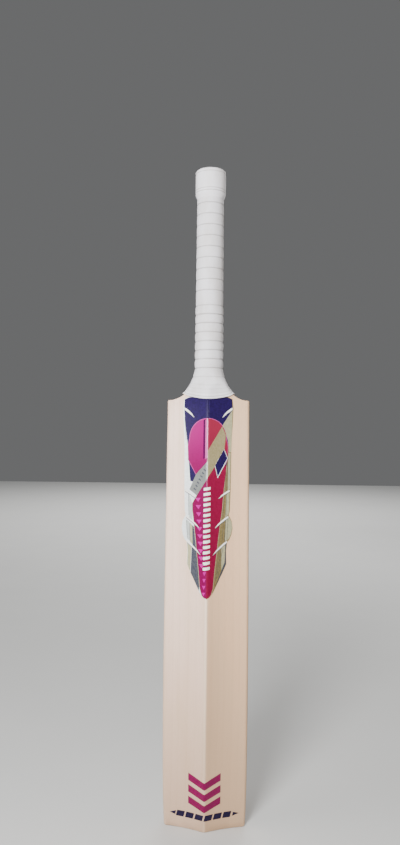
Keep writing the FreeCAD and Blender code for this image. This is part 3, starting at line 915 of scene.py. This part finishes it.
# The middle of the label's top edge follows the grip's lip, a tenth of a millimetre below it.
TOP_EDGE = [(x, lip_height(x * MM) / MM - 0.1) for x in (0.0, 7.0, 14.0, 20.0)]
OUTLINE = TOP_EDGE + [
    (25.2, HEAD), (31.2, HEAD - 2.6), (32.6, 542.0), (32.0, 524.5), (30.8, 503.5), (30.2, 484.5),
    (29.8, 437.5), (28.9, 410.5), (27.6, 404.5), (31.6, 396.5), (32.6, 387.5), (31.0, 379.5),
    (28.4, 373.5), (25.8, 371.0), (24.6, 360.5), (25.0, 343.5), (20.4, 333.5), (8.6, 310.0),
    (4.6, 304.7), (0.0, 302.3),
]


def flipped(corners):
    """The same outline on the other side of the spine."""
    return [(-x, z) for x, z in reversed(corners)]


label_piece("silver_side", [flipped(OUTLINE)], 0, SILVER, "spine_sticker")
label_piece("gold_side", [OUTLINE], 0, GOLD, "spine_sticker")

# %% [markdown]
# Over the foil lies the navy head, and on it a shield, which is the label's main body: an arched top
# that narrows to a point, and below the slanting band a long tapering tail. Each is drawn as two halves
# that meet on the spine. A panel's pale rim is the same panel in a pale ink, a little larger and one
# layer lower, which is how a printer traps one colour against the next.


# %% Head and shield
def arch(centre_z, wide, tall, steps=14):
    """The right half of an arch's top, from the spine outwards."""
    return [
        (wide * math.sin(math.pi / 2 * i / steps), centre_z + tall * math.cos(math.pi / 2 * i / steps))
        for i in range(steps + 1)
    ]


def spread(corners, rim):
    """An outline that starts and ends on the spine, made larger by rim."""
    ends = (corners[0], corners[-1])
    middle = np.mean([z for _, z in ends])
    reach = abs(ends[0][1] - ends[1][1]) / 2
    return [
        (x + math.copysign(rim, x) if x else 0.0, z + rim * (z - middle) / reach) for x, z in corners
    ]


head = TOP_EDGE + [
    (24.8, HEAD - 0.6), (30.8, HEAD - 3.2), (31.6, 541.5), (30.2, 523.6), (28.4, 508.0), (26.2, 494.0),
    (24.6, 473.0), (22.4, 448.0), (0.0, 440.0),
]
label_piece("head", [head, flipped(head)], 1, NAVY)

shield = arch(503.0, 23.6, 25.2) + [(25.8, 492.0), (25.2, 475.0), (14.9, 456.8), (0.0, 448.0)]
rim = spread(shield, 0.5)
label_piece("shield_rim", [rim, flipped(rim)], 2, BLUSH)
label_piece("shield_right", [shield], 3, CRIMSON)
label_piece("shield_left", [flipped(shield)], 3, MAGENTA)
# Painted highlight: the blush stripe beside the spine is the line of light that the ridge's crest catches on
# the shield's dome.
for name, left, right, colour in (("plum", -5.9, -3.5, PLUM), ("blush", -3.3, -0.3, BLUSH)):
    stripe = [(left, 526.2), (right, 527.4), (right, 478.0), (left, 476.0)]
    label_piece(f"{name}_stripe", [stripe], 4, colour)

tail = [
    (0.0, 452.0), (9.3, 464.8), (24.4, 468.2), (23.1, 456.0), (21.2, 439.2), (18.9, 411.4), (17.0, 398.0),
    (14.5, 377.0), (12.1, 355.0), (9.9, 335.0), (8.2, 315.0), (5.6, 306.6), (3.0, 304.0), (0.0, 303.0),
]
tail_left = [(0.0, 452.0), (13.7, 429.5), (19.2, 419.3)] + tail[5:]
for side, outline, colour in (("right", tail, CRIMSON), ("left", flipped(tail_left), MAGENTA)):
    wide = [(x + math.copysign(0.5, x) if x else x, z) for x, z in outline]
    label_piece(f"tail_rim_{side}", [wide], 2, SAGE)
    label_piece(f"tail_{side}", [outline], 3, colour)

# %% [markdown]
# The slanting band crosses the shield in gold on the right and pewter on the left, with a navy lozenge
# set against it. The wings at the label's edges are foil in several tones, with fine dark lines that
# run along them.

# %% Bands and wings
PANELS = [
    ("gold_band", 4, PALE_GOLD, [
        (18.3, 518.2), (22.9, 507.0), (21.4, 489.0), (9.2, 466.6), (0.0, 452.2), (0.0, 487.0),
    ]),
    ("pewter_band", 4, PEWTER, [(0.0, 473.6), (0.0, 452.2), (-13.7, 429.7), (-23.3, 436.9), (-14.9, 456.6)]),
    ("lozenge_rim", 4, SILVER, [(20.7, 490.0), (25.9, 477.1), (12.9, 451.8), (8.8, 468.2)]),
    ("lozenge", 5, NAVY, [(20.7, 488.7), (25.2, 477.1), (12.9, 453.8), (9.5, 468.2)]),
    ("sage_wing", 2, SAGE, [
        (31.4, 539.8), (18.7, 519.7), (22.6, 509.0), (25.8, 500.4),
        (27.4, 485.0), (30.2, 485.0), (31.2, 519.0),
    ]),
    ("sage_strip_right", 2, SAGE, [(26.4, 484.0), (29.4, 484.0), (29.0, 438.0), (26.0, 436.0)]),
    ("sage_upper_right", 1, SAGE, [(24.0, 432.0), (28.6, 436.0), (27.6, 406.0), (23.2, 402.0)]),
    ("sage_wing_low", 1, SAGE, [
        (24.0, 400.0), (27.4, 403.0), (31.4, 395.6), (32.0, 387.5),
        (30.4, 380.0), (27.6, 374.6), (23.0, 372.0),
    ]),
    ("sage_right", 1, SAGE, [(18.6, 366.0), (23.4, 368.6), (22.6, 346.0), (18.8, 336.0)]),
    ("slate_right", 2, SLATE, [
        (25.2, 370.2), (23.4, 368.6), (22.6, 346.0), (9.4, 312.0),
        (20.2, 334.0), (24.5, 343.6), (24.1, 360.5),
    ]),
    ("ash_upper_left", 1, ASH, [(-24.2, 433.0), (-19.4, 420.0), (-18.8, 398.0), (-22.8, 400.0)]),
    ("ash_left", 1, ASH, [(-26.6, 399.0), (-22.0, 395.0), (-21.4, 372.0), (-25.0, 374.4)]),
    ("sage_left", 1, SAGE, [(-22.0, 395.0), (-19.0, 392.0), (-18.2, 368.0), (-21.4, 371.0)]),
    ("slate_left", 1, SLATE, [(-19.0, 392.0), (-16.6, 390.0), (-13.6, 364.0), (-18.2, 367.0)]),
    ("sage_low_left", 1, SAGE, [
        (-25.4, 370.4), (-19.2, 367.6), (-20.8, 334.2), (-24.8, 343.4), (-24.2, 360.5),
    ]),
    ("slate_low_left", 1, SLATE, [
        (-19.0, 367.4), (-12.8, 364.0), (-8.8, 318.0), (-9.4, 311.6), (-20.3, 333.0),
    ]),
]
for name, layer, colour, corners in PANELS:
    label_piece(name, [corners], layer, colour)


def fine_line(start, end, width):
    """A thin straight line as a closed outline."""
    (x0, z0), (x1, z1) = start, end
    return [(x0 - width / 2, z0), (x0 + width / 2, z0), (x1 + width / 2, z1), (x1 - width / 2, z1)]


WING_LINES = [
    ((-24.6, 434.0), (-23.4, 404.0), 0.5),
    ((-26.6, 398.0), (-25.0, 376.0), 0.5),
    ((-22.6, 394.0), (-21.6, 373.0), 0.4),
    ((-30.8, 530.0), (-28.4, 500.0), 0.4),
    ((23.6, 460.0), (21.4, 430.0), 0.4),
    ((25.8, 484.0), (24.0, 404.0), 0.5),
    ((21.4, 426.0), (20.0, 402.0), 0.4),
    ((23.6, 400.0), (22.4, 372.0), 0.6),
    ((21.0, 398.0), (19.2, 370.0), 0.4),
    ((26.6, 400.0), (25.4, 374.0), 0.5),
    ((18.2, 364.0), (12.6, 326.0), 0.5),
    ((20.4, 364.0), (14.6, 328.0), 0.4),
    ((15.6, 362.0), (11.2, 324.0), 0.4),
]
wing_lines = [fine_line(*row) for row in WING_LINES]
label_piece("wing_lines", wing_lines, 3, SLATE)

# %% [markdown]
# Marks that repeat down the label, and the chevrons and blocks by the toe, are drawn once and repeated
# by a second tree: a line of points, the mark placed on each, and the copies made real. `Count`,
# `Step X` and `Step Z` are its inputs.


# %% The repeat tree
def repeat_tree():
    group, t, given, out = new_shaping_tree(
        "repeat_marks",
        [
            ("Count", "NodeSocketInt", 3),
            ("Step X", "NodeSocketFloat", None),
            ("Step Z", "NodeSocketFloat", -0.01),
            ("Ink", "NodeSocketMaterial", None),
        ],
    )
    step = t.add("ShaderNodeCombineXYZ", X=given["Step X"], Z=given["Step Z"]).outputs[0]
    line = t.add("GeometryNodeMeshLine", Count=given["Count"], Offset=step)
    copies = t.add("GeometryNodeInstanceOnPoints", Points=line.outputs[0], Instance=given["Geometry"])
    real = t.add("GeometryNodeRealizeInstances", Geometry=copies.outputs[0])
    inked = t.add("GeometryNodeSetMaterial", Geometry=real.outputs[0], Material=given["Ink"])
    t.feed(out[0], inked.outputs[0])
    return group


REPEAT = repeat_tree()
print("tree:", REPEAT.name)


def repeated(outlines, count, step_x, step_z, material):
    """Flat marks, repeated by steps in millimetres."""
    sizes = {"Count": count, "Step X": step_x * MM, "Step Z": step_z * MM, "Ink": material}
    mesh = grown(flat_mesh(outlines), REPEAT, sizes)
    mesh.name = "flat_marks"
    return mesh


# %% Marks on the label
wedge = [(-15.4, 426.4), (-8.6, 426.9), (-11.8, 421.6)]
label_piece("pink_wedges", repeated([wedge], 10, 0.62, -9.1, PINK), 4, PINK)
low_wedge = [(-4.7, 335.2), (-0.5, 335.8), (-2.6, 330.6)]
label_piece("pink_wedges_low", repeated([low_wedge], 4, -0.3, -8.4, PINK), 4, PINK)
bar = [(-4.6, 439.4), (4.0, 441.0), (4.0, 437.6), (-4.6, 436.0)]
label_piece("white_bars", repeated([bar], 16, 0.0, -6.6, WHITE), 4, WHITE)
dash = [(-4.6, 464.0), (-1.8, 462.0), (-2.6, 460.4), (-5.4, 462.4)]
label_piece("dashes", repeated([dash], 7, -2.1, -4.1, SLATE), 5, SLATE)


# %% [markdown]
# Four pairs of ticks point inwards and down, like the barbs of a feather. Each is a thin blade with a
# bowed upper edge, so one function draws it between its root and its tip. A dark copy a little lower
# sets each one off.


# %% Ticks
def tick(root, tip, height):
    """A curved tick: broad at the root, bowed on top, and ending in a point."""
    (x0, z0), (x1, z1) = root, tip
    run = [(x0 + (x1 - x0) * k, z0 + (z1 - z0) * k) for k in (0.0, 0.25, 0.5, 0.75)]
    bow = [0.5 + 0.5 * math.sin(math.pi * k) for k in (0, 0.3, 0.5, 0.75)]
    top = [(x, z + height * k) for (x, z), k in zip(run, bow)]
    under = [(x, z - height * (0.5 - 0.5 * k)) for (x, z), k in zip(run, (0, 0.5, 0.8, 1.0))]
    return top + [tip] + under[::-1]


TICKS = [
    ((-31.4, 541.4), (-18.1, 529.4), 2.8),
    ((-28.6, 435.6), (-14.0, 425.4), 2.2),
    ((-27.0, 402.6), (-9.8, 388.6), 2.3),
    ((-25.4, 371.4), (-7.4, 355.2), 2.3),
]
ticks = [tick(*spec) for spec in TICKS]
ticks += [flipped(corners) for corners in ticks]
shadows = [[(x, z - 0.9) for x, z in corners] for corners in ticks]
label_piece("tick_shadows", shadows, 5, SLATE)
label_piece("ticks", ticks, 6, WHITE)

# %% [markdown]
# ## The toe
# Near the toe the bat has two small cut stickers. They are generic here: three chevrons, and below them
# a dark bar of slanting blocks with a tapering tail at each end.

# %% Toe stickers
chevron = [(0.0, 71.0), (20.5, 80.0), (20.5, 70.0), (0.0, 61.0), (-20.5, 70.0), (-20.5, 80.0)]
chevrons = repeated([chevron], 3, 0.0, -16.0, TOE_MAGENTA)
print_piece("toe_chevrons", chevrons, 0, TOE_MAGENTA, "magenta_vinyl", "toe_chevron_sticker")
block = [(-34.6, 25.0), (-24.6, 25.0), (-26.6, 16.8), (-36.6, 16.8)]
blocks = repeated([block], 6, 11.9, 0.0, TOE_NAVY)
print_piece("toe_bar_blocks", blocks, 0, TOE_NAVY, "navy_vinyl", "toe_bar_sticker")
tails = [[(-44.4, 20.8), (-36.2, 24.0), (-37.4, 18.4)], [(44.4, 21.0), (36.8, 23.4), (35.6, 17.8)]]
print_piece("toe_bar_tails", tails, 0, TOE_NAVY, "navy_vinyl")

# %% [markdown]
# ## Floor, light and camera
# The bat stands on a plain pale floor in soft studio light. The main lamp stands close in front, a
# little to the left and above the middle, so the left flank is the brighter one, the crest of the spine
# catches a line of light, and the light falls away towards the toe. A weak lamp at each side lifts the
# edges, one behind keeps the face readable, and a broad one hangs over the floor further back. The
# camera stands in front of the spine at a little over half the bat's height, close enough for its
# perspective to matter, with a fairly wide lens.


# %% Floor
def pale_floor():
    material, t, shader = new_material("pale_floor")
    soft = t.noise(t.scaled(object_place(t), 6.0, 6.0, 6.0))
    paint(t, shader, t.mix(soft, rgb(200, 200, 198), rgb(206, 206, 204)), soft, 0.1, 0.8)
    size = 6.0
    corners = [(-size, -size, 0), (size, -size, 0), (size, size, 0), (-size, size, 0)]
    mesh = bpy.data.meshes.new("floor")
    mesh.from_pydata(corners, [], [(0, 1, 2, 3)])
    mesh.materials.append(material)
    floor = new_object("floor", mesh)


pale_floor()

# %% Lamps
MIDDLE = Vector((0.0, 0.0, 0.52))


def soft_lamp(name, spot, size, watts, colour=(1.0, 1.0, 1.0), aim=MIDDLE):
    lamp = bpy.data.lights.new(name, "AREA")
    lamp.shape = "DISK"
    lamp.size = size
    lamp.energy = watts
    lamp.color = colour
    holder = new_object(name, lamp)
    holder.location = spot
    holder.rotation_euler = (aim - Vector(spot)).to_track_quat("-Z", "Y").to_euler()
    holder.visible_camera = False


soft_lamp("key_lamp", (-0.32, -1.0, 0.8), 0.4, 29.0)
soft_lamp("left_lamp", (-1.5, -0.6, 0.9), 0.8, 9.0, (0.96, 0.98, 1.0))
soft_lamp("right_lamp", (1.5, -0.6, 1.0), 0.8, 3.0, (1.0, 0.86, 0.70))
soft_lamp("back_lamp", (0.8, 1.8, 1.6), 1.4, 16.0)
soft_lamp("floor_lamp", (0.0, 3.4, 2.4), 2.6, 110.0, aim=Vector((0.0, 3.6, 0.0)))

world = bpy.data.worlds.new("studio")
bpy.context.scene.world = world
world.use_nodes = True
sky = world.node_tree.nodes["Background"]
sky.inputs[0].default_value = (0.86, 0.87, 0.88, 1.0)
sky.inputs[1].default_value = 0.17


# %% Camera
def stand_camera(spot, forward, up, lens):
    forward = forward.normalized()
    right = forward.cross(up).normalized()
    up = right.cross(forward)
    camera = new_object("camera", bpy.data.cameras.new("camera"))
    pose = Matrix((right, up, -forward)).transposed().to_4x4()
    pose.translation = spot
    camera.matrix_world = pose
    camera.data.sensor_width = 36.0
    camera.data.lens = lens
    bpy.context.scene.camera = camera


stand_camera(
    Vector((0.0108, -0.8975, 0.5095)),
    Vector((-0.0242, 0.9996, 0.0153)),
    Vector((-0.0102, -0.0156, 0.9998)),
    lens=29.17,
)
